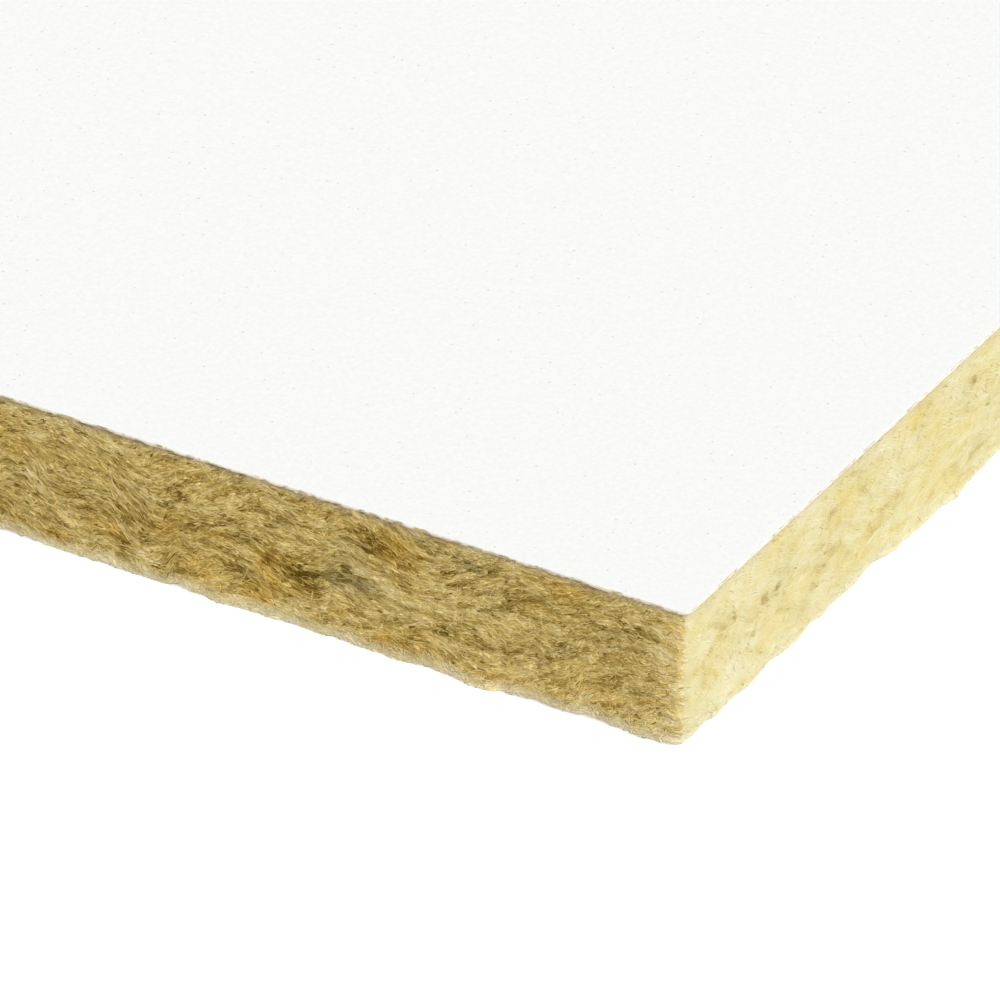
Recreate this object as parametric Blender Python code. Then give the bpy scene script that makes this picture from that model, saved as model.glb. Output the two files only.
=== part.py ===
"""Suspended ceiling tile: a stone wool slab with a painted fleece bonded over its visible face.

The tile lies on its rear face with the visible face up. The origin is the middle of the rear
face, +Z is up, and every length is in metres.
"""

import math
from functools import partial

import bmesh
import bpy
from mathutils import Vector, noise

# Tile, made for a grid whose runners stand 600 mm apart
TILE_WIDTH = 0.595
TILE_LENGTH = 0.595
TILE_THICKNESS = 0.020

# Facing fleece and the glue line under it
FLEECE_THICKNESS = 0.0004
FLEECE_EDGE_BEVEL = 0.0001
FLEECE_CORNER_RADIUS = 0.0008
BOND_GAP = 0.0003

# Sawn sides of the wool: wide hollows and the smaller gaps between tufts, shallower at the glue
HOLLOW_DEPTH = 0.0007
HOLLOW_SIZE = 0.012
TUFT_DEPTH = 0.0006
TUFT_SIZE = 0.005
SHARE_HELD_BY_GLUE = 0.5
TOP_ARRIS_CHAMFER = 0.0003

# Rear arris, which crumbles: lightly on the front and back, more on the two ends
FRONT_ARRIS_RADIUS = 0.0010
END_ARRIS_RADIUS = 0.0028
CRUMBLE_SHARE = 0.75
CRUMBLE_SIZE = 0.007

# Upright corners of the wool: nearly sharp under the fleece, worn round towards the rear face
TOP_CORNER_RADIUS = 0.0014
CORNER_WEAR = 0.0016

# Spacing of the sections that are lofted round the slab, and the steps in each
STATION_PITCH = 0.0045
CORNER_STEPS = 3
ARRIS_STEPS = 3
SIDE_STEPS = 3

# Where each kind of unevenness is read from the same smooth noise
HOLLOW_LAYER = Vector((0, 0, 1))
TUFT_LAYER = Vector((0, 0, 20))
CRUMBLE_LAYER = Vector((0, 0, 40))

# Linear colours, as the cut wool and the painted fleece show them
WOOL_COLOUR = (0.66, 0.55, 0.27, 1.0)
WOOL_ROUGHNESS = 0.95
WOOL_SHARP_ANGLE = math.radians(50)
FLEECE_COLOUR = (0.90, 0.90, 0.88, 1.0)
FLEECE_ROUGHNESS = 0.85
FLEECE_SHARP_ANGLE = math.radians(30)

WOOL_TOP = TILE_THICKNESS - FLEECE_THICKNESS - BOND_GAP
QUARTER_TURN = math.pi / 2
SIDES = range(4)


def clear_scene():
    for old in list(bpy.data.objects):
        bpy.data.objects.remove(old, do_unlink=True)


def plain_material(name, colour, roughness):
    material = bpy.data.materials.new(name)
    material.use_nodes = True
    shader = material.node_tree.nodes["Principled BSDF"]
    shader.inputs["Base Color"].default_value = colour
    shader.inputs["Roughness"].default_value = roughness
    shader.inputs["Metallic"].default_value = 0.0
    return material


def side_frame(side):
    """Outward normal and direction of travel of one side, and the half size of the tile along each."""
    turn = side * QUARTER_TURN
    normal = Vector((round(math.cos(turn)), round(math.sin(turn)), 0))
    along = Vector((-normal.y, normal.x, 0))
    half = Vector((TILE_WIDTH, TILE_LENGTH, 0)) / 2
    return normal, along, abs(half.dot(normal)), abs(half.dot(along))


def corner_normal(side, step):
    """Outward normal at one step round the corner that ends a side."""
    normal, along, _, _ = side_frame(side)
    turn = QUARTER_TURN * step / CORNER_STEPS
    return normal * math.cos(turn) + along * math.sin(turn)


def corner_point(side, step, radius):
    """Plan point at one step round the corner that ends a side, for a corner of this radius."""
    normal, along, reach, half_run = side_frame(side)
    centre = normal * (reach - radius) + along * (half_run - radius)
    return centre + corner_normal(side, step) * radius


def straight_point(point, radius):
    """Plan point on the straight run of a side, which no corner radius moves."""
    return point.copy()


def straight_run(side, corner_reach):
    """Evenly spaced points along one side, kept corner_reach off its ends."""
    normal, along, reach, half_run = side_frame(side)
    straight = half_run - corner_reach
    count = max(1, round(2 * straight / STATION_PITCH))
    return [
        normal * reach + along * straight * (2 * step / count - 1)
        for step in range(count + 1)
    ]


def unevenness(point, size, layer):
    """Smooth noise from 0 to 1, with features about as wide as size."""
    return 0.5 + 0.5 * noise.noise(point / size + layer)


def hollow_at(point):
    """How far the sawn wool lies inside the tile's outline at a point."""
    hollow = HOLLOW_DEPTH * unevenness(point, HOLLOW_SIZE, HOLLOW_LAYER)
    tuft = TUFT_DEPTH * unevenness(point, TUFT_SIZE, TUFT_LAYER)
    return (hollow + tuft) * (1 - SHARE_HELD_BY_GLUE * point.z / WOOL_TOP)


def arris_radius_at(point, outward):
    """Radius of the rear arris: its side's own radius, and how it has broken at this point."""
    clean = FRONT_ARRIS_RADIUS * outward.y**2 + END_ARRIS_RADIUS * outward.x**2
    crumbled = 2 * unevenness(point, CRUMBLE_SIZE, CRUMBLE_LAYER) - 1
    return clean * (1 + CRUMBLE_SHARE * crumbled)


def section_levels(arris):
    """Heights and insets of one section of the side, from the rear face up to the glue line."""
    levels = []
    for step in range(ARRIS_STEPS + 1):
        turn = QUARTER_TURN * step / ARRIS_STEPS
        levels.append((arris * (1 - math.cos(turn)), arris * (1 - math.sin(turn))))
    sawn = WOOL_TOP - TOP_ARRIS_CHAMFER - arris
    for step in range(1, SIDE_STEPS + 1):
        levels.append((arris + sawn * step / SIDE_STEPS, 0.0))
    levels.append((WOOL_TOP, TOP_ARRIS_CHAMFER))
    return levels


def wool_section(plan_point, outward):
    """Points up the side of the slab at one station, which plan_point gives for a corner radius."""
    arris = arris_radius_at(plan_point(TOP_CORNER_RADIUS), outward)
    points = []
    for height, inset in section_levels(arris):
        worn = (CORNER_WEAR + arris) * (1 - height / WOOL_TOP)
        point = plan_point(TOP_CORNER_RADIUS + worn)
        point.z = height
        points.append(point - outward * (inset + hollow_at(point)))
    return points


def wool_sections():
    """Sections right round the slab, anticlockwise from above."""
    largest_arris = max(FRONT_ARRIS_RADIUS, END_ARRIS_RADIUS) * (1 + CRUMBLE_SHARE)
    corner_reach = TOP_CORNER_RADIUS + CORNER_WEAR + largest_arris
    sections = []
    for side in SIDES:
        for point in straight_run(side, corner_reach):
            sections.append(wool_section(partial(straight_point, point), side_frame(side)[0]))
        for step in range(CORNER_STEPS + 1):
            corner = partial(corner_point, side, step)
            sections.append(wool_section(corner, corner_normal(side, step)))
    return sections


def fleece_section(side, step):
    """Points up the cut edge of the fleece: upright, then bevelled where the knife pressed it."""
    corner = corner_point(side, step, FLEECE_CORNER_RADIUS)
    bottom = Vector((0, 0, TILE_THICKNESS - FLEECE_THICKNESS))
    shoulder = Vector((0, 0, TILE_THICKNESS - FLEECE_EDGE_BEVEL))
    top = Vector((0, 0, TILE_THICKNESS)) - corner_normal(side, step) * FLEECE_EDGE_BEVEL
    return [corner + bottom, corner + shoulder, corner + top]


def fleece_sections():
    """Sections round the fleece, which is cut straight and so has them at its corners only."""
    return [fleece_section(side, step) for side in SIDES for step in range(CORNER_STEPS + 1)]


def lofted_solid(name, sections, material, sharp_angle):
    """A solid through sections of equal length, with a flat face over each of its two ends."""
    work = bmesh.new()
    columns = [[work.verts.new(point) for point in section] for section in sections]
    for this, following in zip(columns, columns[1:] + columns[:1]):
        for low in range(len(this) - 1):
            work.faces.new((this[low], following[low], following[low + 1], this[low + 1]))
    work.faces.new([column[0] for column in columns])
    work.faces.new([column[-1] for column in columns])
    bmesh.ops.recalc_face_normals(work, faces=work.faces)
    mesh = bpy.data.meshes.new(name)
    work.to_mesh(mesh)
    work.free()
    mesh.shade_smooth()
    mesh.set_sharp_from_angle(angle=sharp_angle)
    mesh.materials.append(material)
    solid = bpy.data.objects.new(name, mesh)
    bpy.context.scene.collection.objects.link(solid)
    return solid


def build_wool_slab():
    wool = plain_material("stone_wool", WOOL_COLOUR, WOOL_ROUGHNESS)
    return lofted_solid("wool_slab", wool_sections(), wool, WOOL_SHARP_ANGLE)


def build_facing_fleece():
    fleece = plain_material("painted_fleece", FLEECE_COLOUR, FLEECE_ROUGHNESS)
    return lofted_solid("facing_fleece", fleece_sections(), fleece, FLEECE_SHARP_ANGLE)


clear_scene()
build_wool_slab()
build_facing_fleece()
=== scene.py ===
import math

import bpy
import numpy as np
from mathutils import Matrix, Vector, geometry, noise


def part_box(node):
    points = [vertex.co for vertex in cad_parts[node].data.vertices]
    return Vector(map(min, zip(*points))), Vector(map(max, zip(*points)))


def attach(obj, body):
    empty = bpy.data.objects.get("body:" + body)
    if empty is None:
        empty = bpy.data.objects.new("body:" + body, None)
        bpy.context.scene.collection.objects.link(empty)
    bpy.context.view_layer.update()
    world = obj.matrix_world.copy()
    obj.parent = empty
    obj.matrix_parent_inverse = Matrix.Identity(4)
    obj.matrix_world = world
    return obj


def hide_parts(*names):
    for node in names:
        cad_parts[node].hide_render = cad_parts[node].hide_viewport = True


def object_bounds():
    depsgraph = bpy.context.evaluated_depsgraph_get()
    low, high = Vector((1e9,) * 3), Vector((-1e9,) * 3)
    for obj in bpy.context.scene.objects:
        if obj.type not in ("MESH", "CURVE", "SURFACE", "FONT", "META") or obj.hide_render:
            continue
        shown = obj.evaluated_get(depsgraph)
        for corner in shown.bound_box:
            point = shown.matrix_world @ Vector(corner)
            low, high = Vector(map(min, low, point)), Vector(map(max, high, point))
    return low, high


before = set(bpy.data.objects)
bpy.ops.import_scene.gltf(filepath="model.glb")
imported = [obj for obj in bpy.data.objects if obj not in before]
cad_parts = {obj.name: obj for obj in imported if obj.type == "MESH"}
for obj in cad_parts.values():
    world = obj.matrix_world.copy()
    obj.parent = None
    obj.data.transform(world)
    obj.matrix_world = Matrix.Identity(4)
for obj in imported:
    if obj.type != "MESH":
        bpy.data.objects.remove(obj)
cad_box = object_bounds()

MM = 0.001
ROOT = "root"
SIDES = range(4)
END_SIDE = 0
FRONT_SIDE = 3
QUARTER_TURN = math.pi / 2

# Sizes taken from the parts in model.glb
HALF_X, HALF_Y, TILE_TOP = cad_box[1]
FLEECE_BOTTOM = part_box("facing_fleece")[0].z
FLEECE_THICKNESS = TILE_TOP - FLEECE_BOTTOM

# Camera, fitted to the tile's edges in the photo
CAMERA_AZIMUTH = 30.591
CAMERA_ELEVATION = 32.674
CAMERA_DISTANCE = 3.6
CAMERA_LENS = 1076.1
CAMERA_CLIP_END = 200
CAMERA_TARGET = Vector((0.26525, -0.28714, TILE_TOP))

# Floor and light
FLOOR_COLOUR = (0.86, 0.86, 0.86)
FLOOR_LIFT = 0.45
FLOOR_HALF = 90
FLOOR_SPECULAR = 0.5
FLOOR_ROUGHNESS = (0.85, 0.95)
FLOOR_SPECKLE_SIZE = (50, 50, 50)
FLOOR_BUMP = 0.1 * MM
WHITE = (1, 1, 1, 1)
WORLD_STRENGTH = 0.5
KEY_STRENGTH = 2.25
KEY_ANGLE = 35
KEY_AZIMUTH = 70
KEY_ELEVATION = 50

# Form of the sawn wool: the kinds of unevenness that the solid has, in smaller amounts
HOLLOW_DEPTH = 0.4 * MM
TUFT_DEPTH = 0.4 * MM
SHARE_HELD_BY_GLUE = 0.9
FRONT_ARRIS_RADIUS = 0.5 * MM
END_ARRIS_RADIUS = 2.2 * MM
CRUMBLE_SHARE = 0.75
TOP_CORNER_RADIUS = 0.8 * MM
CORNER_WEAR = 1.2 * MM

# Finer relief that only the looks have
FELT_DEPTH = 0.35 * MM
GRIT_DEPTH = 0.16 * MM
REAR_RELIEF = 0.2 * MM
REAR_RELIEF_REACH = 3 * MM
LEAST_ARRIS = 0.05 * MM
FOOT_HEIGHT = 6 * MM
END_FOOT = 0.26
GLUE_REACH = 0.7 * MM
# Height of the rim under the painted highlight, as shares of the rear arris's radius and of its foot
RIM_ARRIS_SHARE = 0.5
RIM_FOOT_SHARE = 0.2

# Pairs of values, one for the front and back and one for the two ends
TOP_ARRIS_CHAMFER = (0.12 * MM, 0.072 * MM)
GLUE_GROOVE = (0.04 * MM, 0.016 * MM)
FLEECE_OVERHANG = (0.13 * MM, 0.0494 * MM)
# How far up from the rear arris's rim the painted highlight reaches
RIM_HIGHLIGHT_REACH = (1.8 * MM, 1.26 * MM)
ARRIS_SHARE = (1, 0.5)
RAGGED_SHARE = (1, 0.4)
RELIEF_SHARE = (1, 0.5)
FRAY_SHARE = (1, 0.5)
LAY_SHARE = (1, 0.6)
# Painted shade: how much darker the wool is painted where its fine relief sinks deepest
CAVITY_PAINTED_SHADE = (-0.3, -0.12)
CLUMP_TONE = (0.3, 0.32)
CLOSE_CLUMP_TONE = (0.25, 0.21)
BROAD_CLUMP_TONE = (0, 0.3)
# Painted light: how much paler the wool is painted near the rear face, against the floor's shade there
FRINGE_PAINTED_LIGHT = (0.16, 0.06)
# Painted shade: how much darker the wool is painted just under the fleece's edge
GLUE_LINE_PAINTED_SHADE = (-0.02, -0.006)
STRAND_TONE = (0.5, 0.275)
BINDER_STRENGTH = (1.2, 1.5)
LOOSE_SLAG = (1, 0.3)
PAINT_DUST_SHARE = (0.5, 0.52)
BLOTCH_HUE = (0.5, 1)

# Smooth noise: how wide its features are in millimetres, and the place that it is read from
HOLLOW_NOISE = (12, (0, 0, 1))
TUFT_NOISE = (5, (0, 0, 20))
CRUMBLE_NOISE = (7, (0, 0, 40))
FELT_NOISE = ((2.4, 1.2, 1.2), (3, 0, 7))
GRIT_NOISE = ((1, 0.5, 0.5), (9, 4, 2))
REAR_NOISE = (6, (5, 5, 5))
WIDE_LAY_NOISE = ((14, 14, 9), (4, 4, 4))
CLOSE_LAY_NOISE = ((5, 5, 3.5), (14, 4, 4))
BROAD_CLUMP_NOISE = ((9, 9, 5), (8, 2, 3))
WIDE_CLUMP_NOISE = ((4, 2.5, 1.6), (1, 2, 3))
CLOSE_CLUMP_NOISE = ((1.2, 0.9, 0.55), (5, 2, 3))
BINDER_EDGE_NOISE = ((1.6, 1.2, 0.8), (7, 1, 4))
BINDER_PATCH_NOISE = ((8, 6, 4), (2, 8, 3))
SLAG_EDGE_NOISE = ((0.8, 0.6, 0.4), (7, 21, 4))
SLAG_PATCH_NOISE = ((7, 6, 3.5), (31, 8, 3))
DUST_NOISE = ((2, 2, 0.8), (3, 6, 9))
BLOTCH_NOISE = ((7, 7, 3), (12, 17, 5))
STRAND_TONE_NOISE = (0.7, (5, 9, 1))
STRAND_HUE_NOISE = (0.7, (25, 9, 1))

# Raggedness of the rear arris and of the fleece's edge: depth and noise
RAGGED = (
    (1.6 * MM, (1.3, (8, 8, 30))),
    (1 * MM, (3, (8, 8, 30))),
)
FRAYS = (
    (0.24 * MM, (1.7, (6, 2, 9))),
    (0.2 * MM, (0.7, (6, 2, 9))),
)

# Mesh spacing: close where the photo looks, and wider elsewhere. A spacing has the two pitches,
# then the steps beside and round the near corner, and beside and round the others.
CORNER_REACH = 10 * MM
FRONT_CLOSE_RUN = 105 * MM
END_CLOSE_RUN = 85 * MM
WOOL_SPACING = (0.4 * MM, 1.5 * MM, (21, 14), (6, 6))
FLEECE_SPACING = (0.35 * MM, 1 * MM, (20, 10), (10, 6))
REAR_MARGINS = (2 * MM, 1 * MM)
ARRIS_ROWS = 7
SIDE_ROWS = 30
REAR_GRID = 6 * MM
FLEECE_GRID = 30 * MM
HIDDEN_GRID = 60 * MM
GRID_CLEARANCE = 0.6
MERGE_DISTANCE = 1e-9

# Where the looks pass from long grain to end grain, as the square of the normal's part along X
WOOL_END_GRAIN = (0.02, 0.6)
# Where the fleece's cut edge passes from its shaded front colours to its lit end colours
FLEECE_LIT_END_STEP = (0.3, 0.7)
# Least part of a normal along a face's own, for a place near the face and for one on its flat run
FACES = 0.7
STRAIGHT = 0.999

# The faces as the photo shows them. Each place is a distance from the near corner along the
# face, in millimetres, and each height is above the rear face, in millimetres.

# Place and radius of the rear arris, which has crumbled. Below 0 the foot of the wool bulges.
FRONT_CRUMBLE = (
    (0, 1.2), (2, 0.9), (4, 0.7), (6, 0), (8, 0.2), (10, 0.9), (12, 1), (14, 1.6),
    (16, 0.7), (20, 0.8), (22, 1.2), (24, 0.55), (26, 0), (28, -0.7), (30, -0.9), (32, -0.3),
    (34, 0.2), (36, 0.7), (38, 0.1), (40, -0.4), (42, -0.3), (44, 0.1), (48, 0.8), (50, 0.3),
    (52, 0), (54, 0.3), (58, 0.3), (62, -0.1), (66, -0.4), (68, 0), (70, 0.6), (72, 1),
    (74, 0), (76, -0.1), (78, 0.1), (82, 0.6), (84, 0.4), (88, 0), (90, 0.4),
    (92, 0.8), (96, 0.9), (104, 0.5),
)
END_CRUMBLE = (
    (0, 2), (3, 2.4), (6, 2.7), (8, 1.8), (10, 2.3), (12, 2.8), (14, 2.4), (16, 1.8),
    (18, 2.1), (20, 2.8), (22, 3), (25, 2.3), (28, 1.8), (30, 2.2), (32, 2.9), (34, 2.3),
    (37, 3.1), (40, 2.7), (42, 2.5), (44, 3.1), (46, 3.9), (48, 3.2), (50, 1.7), (52, 1),
    (54, 1.8), (56, 1.8), (58, 1), (60, 1), (62, 1.5), (64, 0.9), (66, 0.3), (68, 1.2),
    (70, 1.7), (72, 1.6), (80, 2.2), (86, 2),
)
# Place, height, half length, half height and strength of the golden and brown binder
FRONT_BINDER = (
    (1.6, 14, 1.3, 5, 0.28), (17, 18, 3.2, 1.8, 0.5), (13.5, 4.6, 4, 1.2, 0.35),
    (27, 2.2, 4, 1.2, 0.4), (41, 16, 3.2, 2.3, 0.75), (42.5, 2.5, 2, 1.5, 0.4),
    (48, 17.5, 2.6, 1.2, 0.3), (53.5, 18, 2, 0.9, 0.4), (56, 4.6, 2.6, 1.1, 0.6),
    (59, 8, 1.7, 3.2, 0.85), (60.5, 3, 2.2, 1.2, 1.1), (69, 4, 3.4, 2, 0.5),
    (73, 8.5, 3, 1.5, 0.5), (82, 5.5, 2.8, 1.4, 0.55), (89, 2.2, 2.4, 1, 0.7),
    (94, 13, 2.6, 1.6, 0.45), (21, 13.8, 1.6, 1, 0.35), (70, 18, 4, 1, 0.25),
    (35, 18, 2.5, 1, 0.2), (54, 7.5, 3, 2, 0.4), (66, 9, 4, 2.5, 0.3),
)
END_BINDER = (
    (22, 19, 2.2, 0.9, 0.45), (37, 15, 3.5, 3.2, 0.38), (37, 8, 1.6, 1.6, 0.35),
    (54.5, 18, 2, 2.2, 0.55), (19, 7.5, 1.2, 1.6, 0.25), (46.5, 7.5, 2.2, 1, 0.28),
    (60, 11, 1.6, 3.2, 0.24), (64, 4.6, 2.6, 1.2, 0.25), (2, 17, 1.4, 1.4, 0.2),
    (44.5, 10.5, 2, 0.9, 0.2), (7, 8, 1.8, 1, 0.15), (66, 18, 1.6, 1, 0.22),
)
# The same for the grey slag
FRONT_SLAG = (
    (48, 9.6, 2.6, 1.7, 0.65), (50.5, 8.6, 2, 1, 0.45), (44.5, 9, 2.2, 1, 0.4),
    (54.2, 8, 1.9, 1.3, 0.35), (30, 17, 2.6, 0.9, 0.6), (36, 18, 2, 0.9, 0.4),
    (17, 9.2, 2.6, 1.1, 0.3), (34, 6.2, 1.7, 0.6, 0.3), (24, 13.6, 2.8, 1.4, 0.25),
    (62.5, 6, 1.6, 0.9, 0.3), (57, 14.6, 1.6, 0.8, 0.2), (10, 12, 2.6, 1.5, 0.25),
)
END_SLAG = (
    (21.6, 11.8, 0.8, 0.4, 0.2), (34.5, 15.2, 1.6, 0.6, 0.25), (32, 6.4, 1.2, 0.4, 0.2),
    (69, 15.2, 0.6, 0.6, 0.3), (24, 13.5, 1.4, 1, 0.15),
)
# The same for the charred binder
FRONT_CHAR = (
    (54.2, 8, 1.9, 1.3, 0.95), (52.6, 6.3, 1.6, 0.9, 1.2), (48, 9.6, 2.2, 1.5, 0.15),
    (56, 8.9, 0.9, 0.5, 0.5), (43.6, 15, 1.8, 1.2, 1), (40.5, 14, 1.6, 0.4, 0.6),
    (59, 8.5, 1, 1.8, 0.6), (61.5, 4.8, 1.2, 0.6, 0.15), (30, 17, 2.6, 0.9, 0.3),
    (36, 18, 2, 0.9, 0.25), (24, 13.6, 2.8, 1.4, 0.2), (17, 9.2, 2.6, 1.1, 0.2),
    (62.5, 6, 1.2, 0.6, 0.05), (71, 14, 2.4, 1.3, 0.3), (79.2, 3.5, 1, 1, 0.45),
    (34, 6.2, 1.7, 0.7, 0.9), (93.5, 9.2, 2, 0.6, 0.35), (80.5, 12.3, 1.6, 0.5, 0.4),
    (78.6, 7.6, 1.1, 0.7, 0.5), (86.8, 7, 0.7, 2, 0.35), (61, 16.4, 1.2, 1, 0.3),
    (68, 8, 1.4, 0.6, 0.4), (8, 15.5, 2, 0.6, 0.3), (63, 12.6, 1.2, 0.5, 0.35),
    (48.7, 9, 0.9, 0.6, 0.5), (47.6, 10.7, 0.9, 0.5, 0.45),
)
END_CHAR = (
    (18.9, 11.6, 0.9, 0.6, 1.8), (21.6, 11.8, 0.8, 0.35, 1.2), (11.4, 13.2, 0.5, 0.5, 0.9),
    (9.6, 10.1, 0.8, 0.4, 0.4), (16.2, 8.2, 0.9, 0.4, 0.5), (69, 15.2, 0.6, 0.6, 0.6),
    (57.4, 11.2, 0.8, 0.5, 0.4), (42, 5.8, 0.7, 0.3, 0.4), (68.5, 4, 0.8, 0.4, 0.4),
    (34.5, 15.2, 1.6, 0.6, 0.25), (32, 6.4, 1.2, 0.4, 0.25), (6.2, 11.8, 0.7, 0.4, 0.3),
    (65, 8.8, 1.2, 0.7, 0.25), (45, 19.3, 0.8, 0.4, 0.3), (14, 9, 1.6, 0.3, 0.3),
    (17.5, 4.4, 0.9, 0.4, 0.35), (39.3, 18, 0.8, 0.4, 0.3),
)
# The same for how much paler the wool is, or darker where the last number is negative
FRONT_SHADE = (
    (1.5, 10, 3, 9, 0.22), (0.2, 10, 1.2, 12, 0.12), (4, 3, 7, 2.5, 0.1), (17, 15, 8, 2.5, -0.1),
    (27, 11, 12, 2.2, 0.09), (15, 4.5, 6, 2.5, 0.07), (37, 7, 4, 2, 0.08), (45, 15, 4, 2.5, -0.08),
    (44, 11, 4, 2, 0.08), (53, 3, 4.5, 1.8, 0.16), (72, 7, 14, 3, -0.09), (29, 3.5, 4, 1.5, 0.08),
    (83, 18, 8, 2, 0.1), (77, 15, 4, 2, 0.07), (85, 3, 4, 1.5, 0.1), (66, 11, 12, 2, -0.03),
    (93, 9.8, 1.7, 0.8, 0.2), (64, 15.2, 1.8, 1.4, 0.14), (76.5, 3.2, 2, 0.8, 0.12),
    (79, 13.2, 1.6, 0.6, 0.14), (19, 12.2, 1.8, 0.5, 0.14), (7.5, 16.4, 1.2, 0.6, 0.14),
    (90.6, 15.6, 0.8, 0.6, 0.16), (29.9, 10, 0.25, 0.7, 0.4), (22, 18.9, 1.4, 0.4, 0.14),
    (11.6, 14.8, 1.4, 0.5, 0.12), (1, 18, 4, 2, 0.09), (1, 5, 4, 2.5, 0.07), (33, 17.5, 4, 2, 0.06),
    (25, 5.5, 4, 2.5, -0.09), (9, 9, 4, 2, -0.06), (46, 9, 7, 2.5, 0.08), (66, 2.5, 4, 1.5, 0.07),
    (77, 13, 8, 2.5, -0.05), (49, 13, 4, 2, -0.05), (50, 5.5, 3, 2, 0.05),
    (5, 10, 4, 12, 0.05), (21, 18.5, 4, 1.2, 0.05), (37, 18.5, 4, 1.2, 0.05),
    (50, 11.2, 6, 1.8, 0.09), (61, 4, 4, 2.5, -0.06), (45, 6.5, 3.5, 1.5, -0.05),
    (74, 11, 5, 2, 0.04), (78, 3.5, 6, 1.5, 0.04), (36, 5.5, 3, 2, 0.04),
    (1.2, 14, 0.9, 6, 0.1), (54.5, 9.2, 2, 1.2, 0.12), (46, 11.2, 2, 1, 0.12),
    (41.2, 13.3, 1.6, 0.9, -0.13), (43, 9.2, 1.1, 0.8, -0.13),
)
END_SHADE = (
    (10, 5.6, 5, 1.8, 0.12), (19, 15.5, 3, 2, 0.09), (28, 9.5, 3, 1.5, 0.06),
    (50, 10, 4, 2, 0.06), (60, 16.5, 3, 1.2, 0.06), (3, 6, 2, 1.4, 0.1),
    (8, 3, 9, 2.2, 0.12), (26, 2.8, 10, 1.6, 0.06), (46, 2.8, 10, 1.6, 0.05),
    (30, 10, 32, 3.5, -0.07), (66, 6, 8, 4, -0.12), (29, 5.5, 8, 2.5, -0.06),
    (41, 17.5, 5, 2, -0.13), (34, 9.5, 4, 2.5, -0.06), (26, 17.5, 4, 2, -0.06), (57, 17, 4, 2, -0.05),
    (35, 2.4, 45, 1.2, 0.05), (9, 12, 5, 3.5, -0.08), (1, 9, 3, 2, -0.05), (1, 16, 3, 3, 0.05),
    (17, 13.5, 3, 2, 0.06),
)
# Place, height and slope of the fibres' lay on the front: positive climbs towards the corner
FRONT_LAY = (
    (95, 17, 0.1), (91, 12, -0.5), (86, 15, 0), (82, 16, -0.4), (79, 13, -0.5),
    (78, 8, -0.8), (85, 6, 0.2), (92, 4, -0.1), (72, 14, 0.5), (71, 9, 0.35), (66, 17, 0.3),
    (68, 4, 0.3), (62, 16, 0.6), (62, 11, 0.35), (56, 15, -0.2), (58, 8, -0.9),
    (55, 11, 0.4), (52, 4, 0.2), (45, 17, -0.5), (41, 15, -0.5), (44, 10, 0.3),
    (36, 16, 0.1), (35, 9, 0.2), (46, 3, 0.3), (30, 17, 0.25), (25, 13, 0.25), (26, 4, 0.2),
    (18, 13, 0.5), (14, 10, 0.45), (17, 17, 0.3), (10, 16, 0.1), (5, 15, -0.5),
    (6, 10, -0.2), (5, 5, 0.2), (12, 4, 0.3),
)

# How far the photo shows each face, and where marks fade behind it, in millimetres
FRONT_SHOWN = 100
END_SHOWN = 80
MARK_FADE = (3, 6)

# Slope of the fibres' lay, and how far in millimetres a marked slope reaches
LAY_REACH = 3.5
LAY_DEPTH = 6
WIDE_LAY = 2.4
CLOSE_LAY = 1.6
MARKED_LAY_HOLD = 0.7
END_LAY = -0.48

# Tones of the wool, from 0 for dark to 1 for pale
WOOL_TONE = 0.45
# Heights over which the painted light near the rear face fades out
FRINGE_LIGHT_FADE = (0.3 * MM, 3.2 * MM)
MARK_TONE = 0.9
STRAND_STEP = 0.5 * MM
STRAND_STEPS = 5
CHAR_TONE = -0.45

# Attributes of the wool's looks: its tone, its stains, and pale, a painted highlight along the rear
# arris, each from 0 to 1
WOOL_LOOK_ATTRIBUTES = ("tone", "binder", "slag", "paint", "pale")
PATCH_GAIN = 1.5
EDGE_GAIN = 1.2
LOOSE_STAIN = 0.4
BINDER_LEVELS = (0.52, 0.5)
SLAG_LEVELS = (0.6, 0.52)
SHOWN_BINDER = 0.25
SHOWN_SLAG = 0.1
BINDER_EDGE = (0.2, 1.8)
SLAG_EDGE = (-1, 3)
MOST_SLAG = 0.9
BINDER_EVERYWHERE = 0.15
STRAND_HUE = 0.5
DUST_DEPTH = 0.8 * MM
DUST_FADE = (FLEECE_BOTTOM - 0.9 * MM, FLEECE_BOTTOM + 0.5 * MM)
# Strength of the painted highlight that lightens the wool along the rear arris, where it turns down into
# shade
RIM_HIGHLIGHT_SHARE = 0.8

# Colours of the wool for tones from 0 to 1, and what stains them. The end grain is paler and less
# saturated than the long grain, partly its own colour and partly painted light for the lit ends.
LONG_GRAIN_WITH_PAINTED_SHADE = (
    (0, (0.2, 0.122, 0.014)),
    (0.3, (0.525, 0.385, 0.111)),
    (0.6, (0.84, 0.681, 0.291)),
    (1, (0.96, 0.855, 0.535)),
)
END_GRAIN_WITH_PAINTED_LIGHT = (
    (0, (0.49, 0.385, 0.155)),
    (0.3, (0.728, 0.644, 0.342)),
    (0.6, (0.812, 0.765, 0.516)),
    (1, (0.85, 0.83, 0.676)),
)
BINDER_TINT = (1, 0.87, 0.56)
END_BINDER_TINT = (1, 0.915, 0.62)
SLAG_TINT = (0.44, 0.47, 0.52)
PAINT_DUST = (0.6, 0.515, 0.36)
# Colour of the painted highlight along the rear arris
RIM_PAINTED_HIGHLIGHT = (0.96, 0.905, 0.68)
WOOL_SPECULAR = 0.05
WOOL_ROUGHNESS = (0.82, 1)
FIBRE_ROUGHNESS = (0.75, 0.95)

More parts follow.
